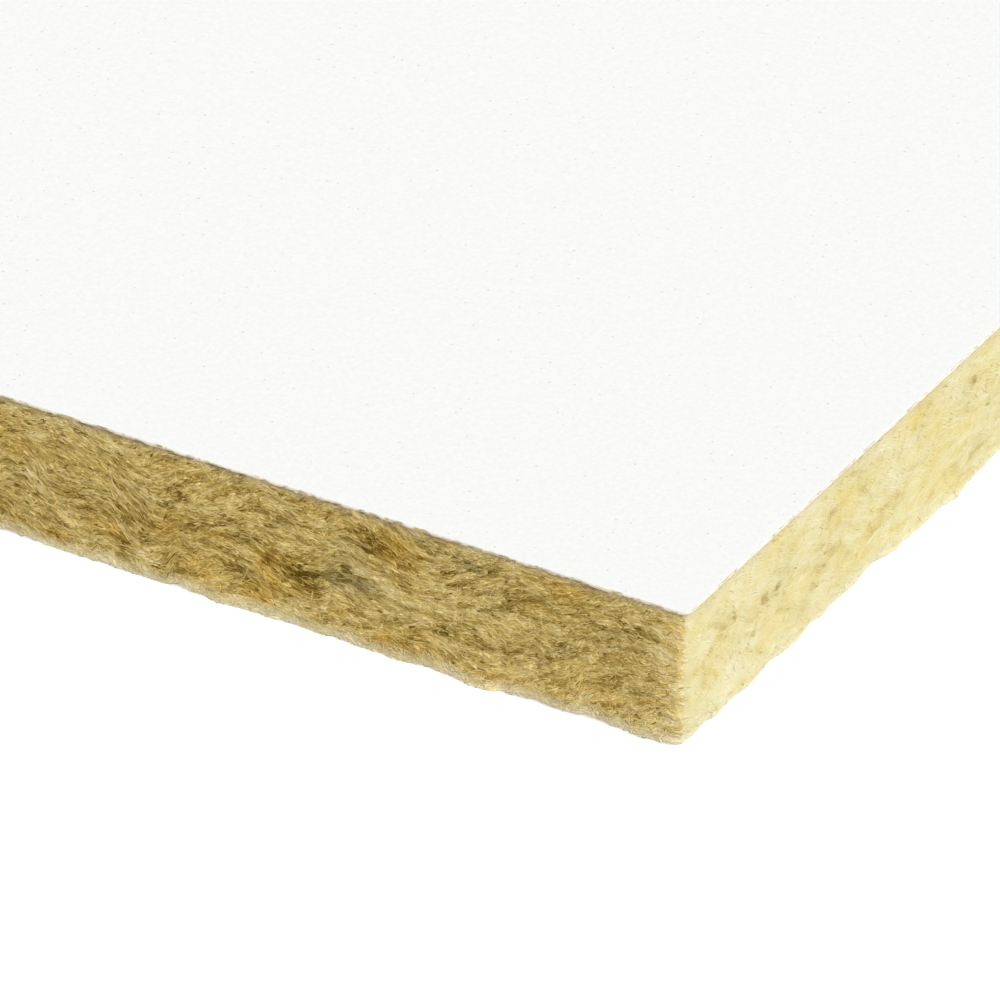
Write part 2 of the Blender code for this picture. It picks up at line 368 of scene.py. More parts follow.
# Grain of the wool's and the fibres' own materials, with sizes in millimetres
STREAK_SIZE = (2.6, 0.3, 0.3)
FLECK_SIZE = (0.9, 0.16, 0.16)
FIBRE_GRAIN_SIZE = (0.8, 0.5, 0.5)
STREAK_TONE = (-0.25, 0.25)
FLECK_TONE = (-0.2, 0.2)
FIBRE_GRAIN_TONE = (-0.12, 0.12)
END_CALM = (1, 0.4)
END_FIBRE_CALM = (1, 0.5)
WOOL_BUMP = 0.25 * MM
FIBRE_BUMP = 0.03 * MM

# Painted fleece: its face, its pinholes and its cut edge, with sizes in millimetres
PAINT_SPECULAR = 0.15
PAINT_ROUGHNESS = (0.7, 0.9)
PAINT_BUMP = 0.045 * MM
PAINT_WHITE = (0.935, 0.94, 0.923)
PAINT_SHADE = (0.875, 0.878, 0.858)
PAINT_GRAIN_SIZE = (0.55, 0.55, 0.55)
PAINT_GRAIN_TONE = (-0.6, 1.6)
GLASS_SIZE = (1.6, 0.6, 0.6)
PINHOLE_GREY = (0.4, 0.39, 0.36)
PINHOLE_PITCH = (1.3, 1.3, 1.3)
PINHOLE_RADII = (0.05, 0.15)
PINHOLE_STRENGTHS = (0.05, 0.7)
SHARE_WITHOUT_PINHOLE = 0.45
# Colours of the cut edge going down: on the front, bare fleece darkened by painted shade under the edge;
# on the ends, paler as painted light
FRONT_CUT_WITH_PAINTED_SHADE = (
    (0, (0.925, 0.925, 0.9)),
    (0.25, (0.83, 0.78, 0.65)),
    (0.5, (0.75, 0.675, 0.51)),
    (1, (0.69, 0.58, 0.38)),
)
END_CUT_WITH_PAINTED_LIGHT = (
    (0, (0.925, 0.925, 0.9)),
    (0.25, (0.86, 0.83, 0.725)),
    (0.5, (0.84, 0.79, 0.64)),
    (1, (0.83, 0.775, 0.58)),
)
CUT_NOISE_SIZE = (0.9, 0.9, 0.4)
CUT_NOISE_GAIN = (-0.6, 2.6)
CUT_ONSET = 8
# Brown specks along the cut edge, partly glue and partly painted shade, and fewer on the lit ends
SPECK_BROWN_AND_SHADE = (0.11, 0.075, 0.05)
SPECK_SIZE = (1.5, 1.5, 0.45)
SPECK_FROM = 0.5
SPECK_FULL = 0.62
SPECK_SHARE = 0.9
LIT_END_SPECKS = (1, 0.2)

# Fleece. Each row is its height, its inset, how far it shows the cut and how far it frays.
FLEECE_CORNER_RADIUS = 0.8 * MM
FLEECE_ROWS = (
    (FLEECE_BOTTOM, 0.55 * MM, 1, 0),
    (FLEECE_BOTTOM, 0.04 * MM, 1, 1),
    (FLEECE_BOTTOM + 0.35 * FLEECE_THICKNESS, 0, 0.75, 1),
    (TILE_TOP - 0.14 * MM, 0.02 * MM, 0.45, 1),
    (TILE_TOP - 0.05 * MM, 0.07 * MM, 0.24, 1),
    (TILE_TOP - 0.01 * MM, 0.16 * MM, 0.12, 1),
    (TILE_TOP, 0.3 * MM, 0.05, 0.9),
    (TILE_TOP, 0.55 * MM, 0.015, 0.6),
    (TILE_TOP, 1.3 * MM, 0, 0),
)

# Fibres. up is the stretch of the wool's side that they start in, jitter turns them off its lay and
# wild is the share that lie any way. Their middles stand out by up to rise and their tips go in by
# sink, flat is thickness against width, and the share that is loose lifts one tip by up to flare.
TUFT_STYLE = dict(
    up=(2.2 * MM, 23.9 * MM), length=1.4 * MM, width=0.3 * MM, jitter=0.2, wild=0.05, bend=0.5,
    rings=2, rise=0.07 * MM, sink=0.12 * MM, flat=0.7, loose=0, flare=0, tone=0.445,
    spread=0.15, skew=0.25,
)
FIBRE_STYLE = dict(
    TUFT_STYLE, length=1.2 * MM, width=0.19 * MM, wild=0.08, rise=0.08 * MM, sink=0.06 * MM,
    loose=0.02, flare=0.3 * MM, spread=0.13,
)
END_TUFT_STYLE = dict(
    TUFT_STYLE, length=2.6 * MM, width=0.36 * MM, jitter=0.25, wild=0.01, rise=0.01 * MM,
    tone=0.43, spread=0.05, flat=0.2, skew=0.1,
)
END_FIBRE_STYLE = dict(
    FIBRE_STYLE, length=2 * MM, width=0.2 * MM, jitter=0.3, wild=0.02, rise=0.01 * MM, loose=0,
    tone=0.44, spread=0.04, flat=0.25, skew=0.1,
)
# Fringe fibres along the rear arris, whose paler tone stands in for light on the fringe, as painted
# light
FRINGE_STYLE = dict(
    FIBRE_STYLE, up=(2 * MM, 5 * MM), length=1 * MM, width=0.14 * MM, jitter=0.6, wild=0.45,
    loose=0.4, flare=0.5 * MM, tone=0.6, spread=0.12,
)
END_FRINGE_STYLE = dict(
    FRINGE_STYLE, jitter=0.4, wild=0.2, rise=0.01 * MM, flat=0.3, loose=0.2, flare=0.35 * MM,
    tone=0.53, spread=0.05,
)
STRAND_STYLE = dict(
    FIBRE_STYLE, length=3 * MM, width=0.13 * MM, jitter=0.4, wild=0.03, bend=1.2, rings=4,
    rise=0.08 * MM, sink=0.03 * MM, loose=0, tone=0.69, spread=0.1,
)
RIM_STYLE = dict(
    FIBRE_STYLE, up=(22.3 * MM, 23.7 * MM), length=0.8 * MM, width=0.17 * MM, jitter=0.6, wild=0.5,
    rise=0.05 * MM, tone=0.47, spread=0.18,
)
END_RIM_STYLE = dict(
    RIM_STYLE, wild=0.2, rise=0.02 * MM, tone=0.5, spread=0.05,
)
FAR_STYLE = dict(
    FIBRE_STYLE, length=4.5 * MM, width=0.28 * MM, rise=0.22 * MM, sink=0.15 * MM, tone=0.48,
)
LENGTH_SPREAD = 0.4
WIDTH_SPREAD = 0.3
RISE_POWER = 1.5
LEAST_BEND = 1e-3
LEAST_HEIGHT = 0.02 * MM
RING_POINTS = 3
CELL_MARGIN = 0.05

# Runs of fibres that the photo shows, measured from the near corner, and pieces for the rest
FRONT_FIBRE_RUN = 104 * MM
END_FIBRE_RUN = 84 * MM
FAR_PIECES = 3
FAR_FIBRES = 6500
FAR_SEED = 21


def noise_field(points, size, layer):
    """Smooth noise from 0 to 1 at each point, with features about as wide as size."""
    flat = (points / np.multiply(size, MM) + np.array(layer)).reshape(-1, 3).tolist()
    values = np.fromiter((noise.noise(p) for p in flat), float, len(flat))
    return 0.5 + 0.5 * values.reshape(points.shape[:-1])


def swing(points, size, layer):
    """The same noise, from -0.5 to 0.5."""
    return noise_field(points, size, layer) - 0.5


def unit(vectors):
    return vectors / np.maximum(np.linalg.norm(vectors, axis=-1, keepdims=True), 1e-12)


def eased(values, low, high):
    """A smooth step from 0 at low to 1 at high."""
    share = np.clip((values - low) / (high - low), 0, 1)
    return share * share * (3 - 2 * share)


def between(end, pair):
    """The value of a pair for a share of end grain."""
    return pair[0] + (pair[1] - pair[0]) * end


def mesh_from(name, points, triangles, material):
    """An object from arrays of points and triangles."""
    mesh = bpy.data.meshes.new(name)
    mesh.vertices.add(len(points))
    mesh.vertices.foreach_set("co", points.astype(np.float32).ravel())
    mesh.loops.add(triangles.size)
    mesh.loops.foreach_set("vertex_index", triangles.astype(np.int32).ravel())
    mesh.polygons.add(len(triangles))
    mesh.polygons.foreach_set("loop_start", np.arange(0, triangles.size, 3, dtype=np.int32))
    mesh.update(calc_edges=True)
    mesh.validate()
    mesh.shade_smooth()
    mesh.materials.append(material)
    piece = bpy.data.objects.new(name, mesh)
    bpy.context.scene.collection.objects.link(piece)
    return piece


def give_attribute(piece, name, values):
    attribute = piece.data.attributes.new(name, "FLOAT", "POINT")
    attribute.data.foreach_set("value", values.astype(np.float32).ravel())


def give_map(piece, places):
    """Lays the piece out for baking, with each vertex at its place on the unit square."""
    corners = np.empty(len(piece.data.loops), np.int32)
    piece.data.loops.foreach_get("vertex_index", corners)
    layer = piece.data.uv_layers.new(name="OFBake")
    layer.uv.foreach_set("vector", places[corners].astype(np.float32).ravel())


def settle(piece, slot, *nodes):
    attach(piece, ROOT)
    if nodes:
        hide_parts(*nodes)


# Stations round the tile


def side_frame(side):
    """Outward normal and direction of travel of one side, and the tile's half size along each."""
    turn = side * QUARTER_TURN
    normal = np.array((round(math.cos(turn)), round(math.sin(turn))), float)
    along = np.array((-normal[1], normal[0]))
    half = np.array((HALF_X, HALF_Y))
    return normal, along, abs(half @ normal), abs(half @ along)


def run_positions(length, close_at_start, close_at_end, close_pitch, wide_pitch):
    """Places along a straight run, close together in the stretches that the photo shows."""
    marks = [0.0, close_at_start, length - close_at_end, length]
    pitches = (close_pitch, wide_pitch, close_pitch)
    places = [0.0]
    for start, end, pitch in zip(marks, marks[1:], pitches):
        count = round((end - start) / pitch)
        places.extend(start + (end - start) * step / count for step in range(1, count + 1))
    return places


def stations(close_pitch, wide_pitch, close_corner, wide_corner):
    """Plan point, its drift for each metre of corner radius, and outward normal, anticlockwise."""
    rows = []
    for side in SIDES:
        normal, along, reach, half_run = side_frame(side)
        straight = half_run - CORNER_REACH
        close_start = END_CLOSE_RUN if side == END_SIDE else 0.0
        close_end = FRONT_CLOSE_RUN if side == FRONT_SIDE else 0.0
        for place in run_positions(2 * straight, close_start, close_end, close_pitch, wide_pitch):
            rows.append((normal * reach + along * (place - straight), np.zeros(2), normal))
        run_steps, arc_steps = close_corner if side == FRONT_SIDE else wide_corner
        for step in range(1, run_steps + 1):
            share = step / run_steps
            point = normal * reach + along * (half_run - CORNER_REACH * (1 - share))
            rows.append((point, -along * share, normal))
        peak = normal * reach + along * half_run
        for step in range(1, arc_steps):
            turn = QUARTER_TURN * step / arc_steps
            outward = normal * math.cos(turn) + along * math.sin(turn)
            rows.append((peak, outward - normal - along, outward))
        for step in range(run_steps, 0, -1):
            share = step / run_steps
            point = along * half_run + normal * (reach - CORNER_REACH * (1 - share))
            rows.append((point, -normal * share, along))
    return [np.array(column) for column in zip(*rows)]


# Places and marks on the two faces that the photo shows


def shown_places(points):
    """Distances from the near corner in millimetres: along the front face, and along the end."""
    return (HALF_X - points[..., 0]) / MM, (points[..., 1] + HALF_Y) / MM


def marked(points, end, front_marks, end_marks):
    """Sum of the soft-edged marks of the two faces."""
    total = np.zeros(points.shape[:-1])
    places = shown_places(points)
    height = points[..., 2] / MM
    for place, depth, share, marks in zip(
        places, places[::-1], (1 - end, end), (front_marks, end_marks)
    ):
        share = share * (1 - eased(depth, *MARK_FADE))
        for along, level, half_length, half_height, strength in marks:
            away = ((place - along) / half_length) ** 2 + ((height - level) / half_height) ** 2
            total += share * strength * np.exp(-away)
    return total


def lay_at(points, end):
    """Slope of the fibres' lay on the cut face: positive climbs anticlockwise."""
    lay = WIDE_LAY * swing(points, *WIDE_LAY_NOISE) + CLOSE_LAY * swing(points, *CLOSE_LAY_NOISE)
    place, depth = shown_places(points)
    total, pull = np.zeros_like(lay), np.zeros_like(lay)
    for along, level, slope in FRONT_LAY:
        away = ((place - along) ** 2 + (points[..., 2] / MM - level) ** 2) / LAY_REACH ** 2
        near = np.exp(-away) * (depth < LAY_DEPTH) * (1 - end)
        total += near
        pull += near * slope
    share = np.clip(total, 0, 1)
    lay = lay * (1 - MARKED_LAY_HOLD * share) + share * pull / np.maximum(total, 1e-6)
    return lay * between(end, LAY_SHARE) + END_LAY * end


# The sawn surface


def hollows(points):
    """How far the wool lies inside the tile's outline."""
    depth = HOLLOW_DEPTH * noise_field(points, *HOLLOW_NOISE)
    depth += TUFT_DEPTH * noise_field(points, *TUFT_NOISE)
    return depth * (1 - SHARE_HELD_BY_GLUE * points[..., 2] / FLEECE_BOTTOM)


def rear_relief(points):
    """Height of the rear face above the floor."""
    return REAR_RELIEF * noise_field(points, *REAR_NOISE)


def no_relief(points):
    return np.zeros(len(points))


def arrises(crisp, outward):
    """Radius of the rear arris at each station, and how far the foot of the wool draws in."""
    end = outward[:, 0] ** 2
    clean = FRONT_ARRIS_RADIUS * outward[:, 1] ** 2 + END_ARRIS_RADIUS * end
    arris = clean * (1 + CRUMBLE_SHARE * (2 * noise_field(crisp, *CRUMBLE_NOISE) - 1))
    facings = (-outward[:, 1], outward[:, 0])
    for place, facing, run in zip(shown_places(crisp), facings, (FRONT_CRUMBLE, END_CRUMBLE)):
        knots, radius = np.array(run).T
        shown = (facing > FACES) & (place < knots[-1])
        arris = np.where(shown, MM * np.interp(place, knots, radius), arris)
    foot = np.minimum(arris, 0) + END_FOOT * end * arris
    arris *= between(end, ARRIS_SHARE)
    for depth, field in RAGGED:
        arris += depth * between(end, RAGGED_SHARE) * swing(crisp, *field)
    return np.maximum(arris, LEAST_ARRIS)[:, None], foot[:, None]


def section_rows(arris, end):
    """Heights and insets of the rows at each station, from the rear face up to the glue line."""
    turns = np.linspace(0, QUARTER_TURN, ARRIS_ROWS)[None, :]
    shares = np.linspace(0, 1, SIDE_ROWS + 1)[None, 1:]
    chamfer = between(end, TOP_ARRIS_CHAMFER)
    sawn = FLEECE_BOTTOM - chamfer - arris
    height = np.hstack([
        np.zeros((len(arris), len(REAR_MARGINS))),
        arris * (1 - np.cos(turns)),
        arris + sawn * shares,
        np.full_like(arris, FLEECE_BOTTOM),
    ])
    inset = np.hstack([
        arris + np.array(REAR_MARGINS)[None, :],
        arris * (1 - np.sin(turns)),
        np.zeros((len(arris), SIDE_ROWS)),
        chamfer,
    ])
    return height, inset


class Wool:
    """The sawn surface as a grid of stations round the tile and rows up its side."""

    def __init__(self):
        base, drift, outward = stations(*WOOL_SPACING)
        crisp = np.hstack([base + drift * TOP_CORNER_RADIUS, np.zeros((len(base), 1))])
        end = outward[:, :1] ** 2
        arris, foot = arrises(crisp, outward)
        height, inset = section_rows(arris, end)
        radius = TOP_CORNER_RADIUS + CORNER_WEAR * (1 - height / FLEECE_BOTTOM)
        plan = base[:, None, :] + drift[:, None, :] * radius[..., None]
        grid = np.concatenate([plan, height[..., None]], axis=2)
        fine = FELT_DEPTH * noise_field(grid, *FELT_NOISE)
        fine += GRIT_DEPTH * noise_field(grid, *GRIT_NOISE)
        relief = (fine - 0.5 * (FELT_DEPTH + GRIT_DEPTH)) * between(end, RELIEF_SHARE)
        depth = inset + hollows(grid) + relief
        depth += foot * np.clip(1 - height / FOOT_HEIGHT, 0, 1) ** 2
        glued = eased(height, FLEECE_BOTTOM - GLUE_REACH, FLEECE_BOTTOM)
        depth += between(end, GLUE_GROOVE) * glued
        grid[..., :2] += (drift - outward)[:, None, :] * depth[..., None]
        grid[..., 2] += rear_relief(grid) * np.clip(1 - height / REAR_RELIEF_REACH, 0, 1)
        self.grid = grid
        # How deep the fine relief sinks, from 0 to 1, which the painted shade in its hollows follows
        self.cavity = fine / (FELT_DEPTH + GRIT_DEPTH)
        self.end_grain = np.broadcast_to(eased(end, *WOOL_END_GRAIN), height.shape)
        # Height of the rear arris's rim, above which the painted highlight fades
        self.rim = np.broadcast_to(RIM_ARRIS_SHARE * arris + RIM_FOOT_SHARE * foot, height.shape)
        self.lay = lay_at(grid, self.end_grain)
        around = np.roll(grid, -1, axis=0) - np.roll(grid, 1, axis=0)
        self.normal = unit(np.cross(around, np.gradient(grid, axis=1)))
        self.across = np.append(0, np.linalg.norm(np.diff(crisp, axis=0), axis=1).cumsum())
        self.round_trip = self.across[-1] + np.linalg.norm(crisp[0] - crisp[-1])
        self.up = np.append(0, np.linalg.norm(np.diff(grid, axis=1), axis=2).mean(axis=0).cumsum())
        front_end = np.flatnonzero(outward[:, 1] < -STRAIGHT)[-1]
        self.corner_at = self.across[front_end] + QUARTER_TURN / 2 * TOP_CORNER_RADIUS

    def sample(self, values, across, up):
        """Values of a grid at places given by distance round the tile and up its side."""
        marks = np.append(self.across, self.round_trip)
        i = np.interp(np.mod(across, self.round_trip), marks, np.arange(len(marks)))
        j = np.interp(up, self.up, np.arange(len(self.up)))
        i0 = np.minimum(i.astype(int), len(self.across) - 1)
        j0 = np.minimum(j.astype(int), len(self.up) - 2)
        i1 = (i0 + 1) % len(self.across)
        fi, fj = i - i0, j - j0
        if values.ndim == 3:
            fi, fj = fi[..., None], fj[..., None]
        low = values[i0, j0] * (1 - fi) + values[i1, j0] * fi
        high = values[i0, j0 + 1] * (1 - fi) + values[i1, j0 + 1] * fi
        return low * (1 - fj) + high * fj


# Closed meshes from a grid of stations and rows


def grid_triangles(columns, rows):
    """Triangles of a grid of columns that closes on itself, each from the bottom up."""
    i, j = np.meshgrid(np.arange(columns), np.arange(rows - 1), indexing="ij")
    a = (i * rows + j).ravel()
    b = (((i + 1) % columns) * rows + j).ravel()
    lower = np.stack([a, b, b + 1], axis=1)
    upper = np.stack([a, b + 1, a + 1], axis=1)
    return np.concatenate([lower, upper])


def filled(ring, pitch):
    """Points spread inside a ring of plan points, and triangles over ring and points together."""
    low, high = ring.min(axis=0), ring.max(axis=0)
    counts = [int((high[k] - low[k]) / pitch) for k in (0, 1)]
    xs, ys = [np.linspace(low[k], high[k], counts[k] + 1)[1:-1] for k in (0, 1)]
    inner = np.array([(x, y) for x in xs for y in ys])
    gap = GRID_CLEARANCE * pitch
    clear = np.all((inner > low + gap) & (inner < high - gap), axis=1)
    points = np.concatenate([ring, inner[clear]])
    edges = [(i, (i + 1) % len(ring)) for i in range(len(ring))]
    corners = [Vector(p) for p in points]
    result = geometry.delaunay_2d_cdt(corners, edges, [], 1, MERGE_DISTANCE)
    origin = np.array([source[0] for source in result[3]])
    return points[len(ring):], origin[np.array(result[2])]


def capped(grid, pitches, reliefs):
    """A closed mesh from a grid: its walls, and a filled face over its bottom and top rings."""
    columns, rows = grid.shape[:2]
    points = [grid.reshape(-1, 3)]
    triangles = [grid_triangles(columns, rows)]
    count = columns * rows
    for row, pitch, relief, flip in zip((0, rows - 1), pitches, reliefs, (True, False)):
        ring = np.arange(columns) * rows + row
        inner, faces = filled(grid[:, row, :2], pitch)
        inner = np.column_stack([inner, np.full(len(inner), grid[:, row, 2].mean())])
        inner[:, 2] += relief(inner)
        faces = np.concatenate([ring, count + np.arange(len(inner))])[faces]
        triangles.append(faces[:, ::-1] if flip else faces)
        points.append(inner)
        count += len(inner)
    return np.concatenate(points), np.concatenate(triangles)


# Materials


class Nodes:
    """A short way to write the nodes of a material or of the world."""

    def __init__(self, owner, shader):
        owner.use_nodes = True
        self.owner = owner
        self.tree = owner.node_tree
        self.inputs = self.tree.nodes[shader].inputs

    def add(self, kind, settings=None, **inputs):
        made = self.tree.nodes.new("ShaderNode" + kind)
        for key, value in (settings or {}).items():
            setattr(made, key, value)
        for key, value in inputs.items():
            self.feed(made.inputs[key.replace("_", " ")], value)
        return made

    def feed(self, socket, value):
        if isinstance(value, bpy.types.NodeSocket):
            self.tree.links.new(value, socket)
        else:
            socket.default_value = value

    def place(self, sizes):
        """Object coordinates divided by a size along each axis, in millimetres."""
        coordinates = self.add("TexCoord").outputs["Object"]
        scale = tuple(1 / (s * MM) for s in sizes)
        return self.add("Mapping", Vector=coordinates, Scale=scale).outputs["Vector"]

    def noise(self, sizes, detail=2.0, roughness=0.5, distortion=0.0):
        made = self.add("TexNoise", Vector=self.place(sizes), Scale=1.0, Detail=detail,
                        Roughness=roughness, Distortion=distortion)
        return made.outputs["Fac"]

    def attribute(self, name):
        return self.add("Attribute", {"attribute_name": name}).outputs["Fac"]

    def maths(self, operation, a, b, clamp=False):
        made = self.add("Math", {"operation": operation, "use_clamp": clamp})
        self.feed(made.inputs[0], a)
        self.feed(made.inputs[1], b)
        return made.outputs[0]

    def times(self, a, b, clamp=False):
        return self.maths("MULTIPLY", a, b, clamp)

    def plus(self, a, b, clamp=False):
        return self.maths("ADD", a, b, clamp)

    def ramp(self, factor, stops):
        """A colour ramp. stops are pairs of place and colour."""
        made = self.add("ValToRGB", Fac=factor)
        elements = made.color_ramp.elements
        while len(elements) < len(stops):
            elements.new(0.5)
        for element, (place, colour) in zip(elements, stops):
            element.position = place
            element.color = (*colour, 1.0)
        return made.outputs["Color"]

    def mix(self, factor, a, b, blend="MIX"):
        made = self.add("Mix", {"data_type": "RGBA", "blend_type": blend})
        self.feed(made.inputs[0], factor)
        for socket, value in ((made.inputs[6], a), (made.inputs[7], b)):
            self.feed(socket, value if isinstance(value, bpy.types.NodeSocket) else (*value, 1.0))
        return made.outputs[2]

    def span(self, value, low, high):
        """A value from 0 to 1 spread over low to high."""
        made = self.add("MapRange", Value=value, To_Min=low, To_Max=high)
        return made.outputs["Result"]

    def finish(self, colour, roughness, height, distance, strength):
        """Feeds the shader: colour, roughness and a bump from a height."""
        self.feed(self.inputs["Base Color"], colour)
        self.feed(self.inputs["Roughness"], roughness)
        bump = self.add("Bump", Height=height, Distance=distance, Strength=strength)
        self.feed(self.inputs["Normal"], bump.outputs["Normal"])
        return self.owner


def material_nodes(name, specular):
    nodes = Nodes(bpy.data.materials.new(name), "Principled BSDF")
    nodes.feed(nodes.inputs["Specular IOR Level"], specular)
    return nodes


def tinted(nodes, tone, end):
    """The wool's colour for a tone from 0 to 1: long grain or end grain, with its stains and a painted
    highlight along the rear arris.
    """
    # Long grain or end grain colours, the end grain's partly painted light
    colour = nodes.mix(end, nodes.ramp(tone, LONG_GRAIN_WITH_PAINTED_SHADE), nodes.ramp(tone, END_GRAIN_WITH_PAINTED_LIGHT))
    binder = nodes.mix(end, BINDER_TINT, END_BINDER_TINT)
    colour = nodes.mix(nodes.attribute("binder"), colour, binder, "MULTIPLY")
    colour = nodes.mix(nodes.attribute("slag"), colour, SLAG_TINT, "MULTIPLY")
    colour = nodes.mix(nodes.attribute("paint"), colour, PAINT_DUST)
    # Painted highlight: the wool lifted towards a pale colour along the rear arris, against its shade
    return nodes.mix(nodes.attribute("pale"), colour, RIM_PAINTED_HIGHLIGHT)


def wool_material():
    nodes = material_nodes("sawn_wool", WOOL_SPECULAR)
    streaks = nodes.noise(STREAK_SIZE, detail=3.0, roughness=0.6, distortion=0.6)
    flecks = nodes.noise(FLECK_SIZE, roughness=0.6)
    end = nodes.attribute("end_grain")
    calm = nodes.span(end, *END_CALM)
    own = nodes.plus(nodes.span(streaks, *STREAK_TONE), nodes.span(flecks, *FLECK_TONE))
    tone = nodes.plus(nodes.attribute("tone"), nodes.times(own, calm), True)
    roughness = nodes.span(flecks, *WOOL_ROUGHNESS)
    height = nodes.times(streaks, calm)
    return nodes.finish(tinted(nodes, tone, end), roughness, height, WOOL_BUMP, strength=0.8)


def fibre_material():
    nodes = material_nodes("wool_fibres", WOOL_SPECULAR)
    end = nodes.attribute("end_grain")
    grain = nodes.noise(FIBRE_GRAIN_SIZE, detail=1.0)
    calm = nodes.span(end, *END_FIBRE_CALM)
    own = nodes.times(nodes.span(grain, *FIBRE_GRAIN_TONE), calm)
    tone = nodes.plus(nodes.attribute("tone"), own, True)
    roughness = nodes.span(grain, *FIBRE_ROUGHNESS)
    return nodes.finish(tinted(nodes, tone, end), roughness, grain, FIBRE_BUMP, strength=0.5)


def with_pinholes(nodes, paint):
    """The paint with faint grey pinholes, of which every cell of a pattern has one or none."""
    cells = nodes.add("TexVoronoi", Vector=nodes.place(PINHOLE_PITCH), Scale=1.0)
    chosen = nodes.add("SeparateColor", Color=cells.outputs["Color"]).outputs
    radius = nodes.span(chosen[1], *PINHOLE_RADII)
    small = nodes.maths("LESS_THAN", cells.outputs["Distance"], radius)
    has_one = nodes.maths("GREATER_THAN", chosen[0], SHARE_WITHOUT_PINHOLE)
    pinholes = nodes.times(small, has_one)
    faint = nodes.times(pinholes, nodes.span(chosen[2], *PINHOLE_STRENGTHS))
    return nodes.mix(faint, paint, PINHOLE_GREY)


def cut_colour(nodes, depth):
    """The fleece's cut edge: paint that turns to bare fleece going down, and brown specks, darker on the
    front as painted shade and paler on the ends as painted light.
    """
    end = nodes.attribute("end_grain")
    ragged = nodes.noise(CUT_NOISE_SIZE, roughness=0.7)
    level = nodes.times(depth, nodes.span(ragged, *CUT_NOISE_GAIN), True)
    cut = nodes.mix(end, nodes.ramp(level, FRONT_CUT_WITH_PAINTED_SHADE), nodes.ramp(level, END_CUT_WITH_PAINTED_LIGHT))
    specks = nodes.noise(SPECK_SIZE, detail=1.0, roughness=0.6)
    specks = nodes.add("MapRange", Value=specks, From_Min=SPECK_FROM, From_Max=SPECK_FULL)
    specks = nodes.times(specks.outputs["Result"], nodes.times(depth, SPECK_SHARE))
    specks = nodes.times(specks, nodes.span(end, *LIT_END_SPECKS))
    return nodes.mix(specks, cut, SPECK_BROWN_AND_SHADE)


def fleece_material():
    nodes = material_nodes("painted_fleece", PAINT_SPECULAR)
    grain = nodes.noise(PAINT_GRAIN_SIZE, roughness=0.6)
    glass = nodes.noise(GLASS_SIZE, detail=3.0, roughness=0.6, distortion=1.2)
    paint = nodes.mix(nodes.span(grain, *PAINT_GRAIN_TONE), PAINT_SHADE, PAINT_WHITE)
    depth = nodes.attribute("cut_edge")
    onset = nodes.times(depth, CUT_ONSET, True)
    colour = nodes.mix(onset, with_pinholes(nodes, paint), cut_colour(nodes, depth))
    roughness = nodes.span(grain, *PAINT_ROUGHNESS)
    height = nodes.plus(grain, glass)
    return nodes.finish(colour, roughness, height, PAINT_BUMP, strength=0.4)


def direct_rays(nodes):
    """1 on rays that reach the camera straight, off a gloss or through a clear piece, and else 0."""
    rays = nodes.add("LightPath").outputs
    seen = nodes.maths("MAXIMUM", rays["Is Camera Ray"], rays["Is Glossy Ray"])
    return nodes.maths("MAXIMUM", seen, rays["Is Transmission Ray"])


def floor_material():
    """A pale matt floor. The camera sees it lifted to white, and the tile's shadow stays on it."""
    nodes = material_nodes("pale_floor", FLOOR_SPECULAR)
    speckle = nodes.noise(FLOOR_SPECKLE_SIZE)
    roughness = nodes.span(speckle, *FLOOR_ROUGHNESS)
    nodes.feed(nodes.inputs["Emission Color"], WHITE)
    nodes.feed(nodes.inputs["Emission Strength"], nodes.times(direct_rays(nodes), FLOOR_LIFT))
    return nodes.finish((*FLOOR_COLOUR, 1.0), roughness, speckle, FLOOR_BUMP, strength=0.05)


# Tones and stains of the wool, with its painted light and painted shade


def loose_stain(patches, edges, patch_level, edge_level):
    """Stain that lies about the wool, where its noise is above the two levels."""
    found = PATCH_GAIN * (patches - patch_level) + EDGE_GAIN * (edges - edge_level)
    return np.clip(found, 0, LOOSE_STAIN)


def stains(points, end):
    """Binder, slag, paint that has run on and charred binder at places on the wool."""
    front_place, end_place = shown_places(points)
    shown = (end_place < MARK_FADE[1]) & (front_place < FRONT_SHOWN)
    shown |= (front_place < MARK_FADE[1]) & (end_place < END_SHOWN)
    edges = noise_field(points, *BINDER_EDGE_NOISE)
    loose = loose_stain(noise_field(points, *BINDER_PATCH_NOISE), edges, *BINDER_LEVELS)
    strength = np.interp(edges, (0, 1), BINDER_EDGE)
    strength *= between(end, BINDER_STRENGTH)
    binder = strength * marked(points, end, FRONT_BINDER, END_BINDER)
    binder += loose * np.where(shown, SHOWN_BINDER, 1)
    edges = noise_field(points, *SLAG_EDGE_NOISE)
    loose = loose_stain(noise_field(points, *SLAG_PATCH_NOISE), edges, *SLAG_LEVELS)
    loose *= np.where(shown, SHOWN_SLAG, 1) * between(end, LOOSE_SLAG)
    edge = np.interp(edges, (0, 1), SLAG_EDGE)
    slag = loose + marked(points, end, FRONT_SLAG, END_SLAG) * edge
    char = loose + marked(points, end, FRONT_CHAR, END_CHAR) * (edge + (1 - end) * (edges - 0.5))
    dusty = eased(points[..., 2] + DUST_DEPTH * noise_field(points, *DUST_NOISE), *DUST_FADE)
    paint = between(end, PAINT_DUST_SHARE) * dusty
    return binder, np.clip(slag, 0, MOST_SLAG), paint, np.clip(char, 0, 1)


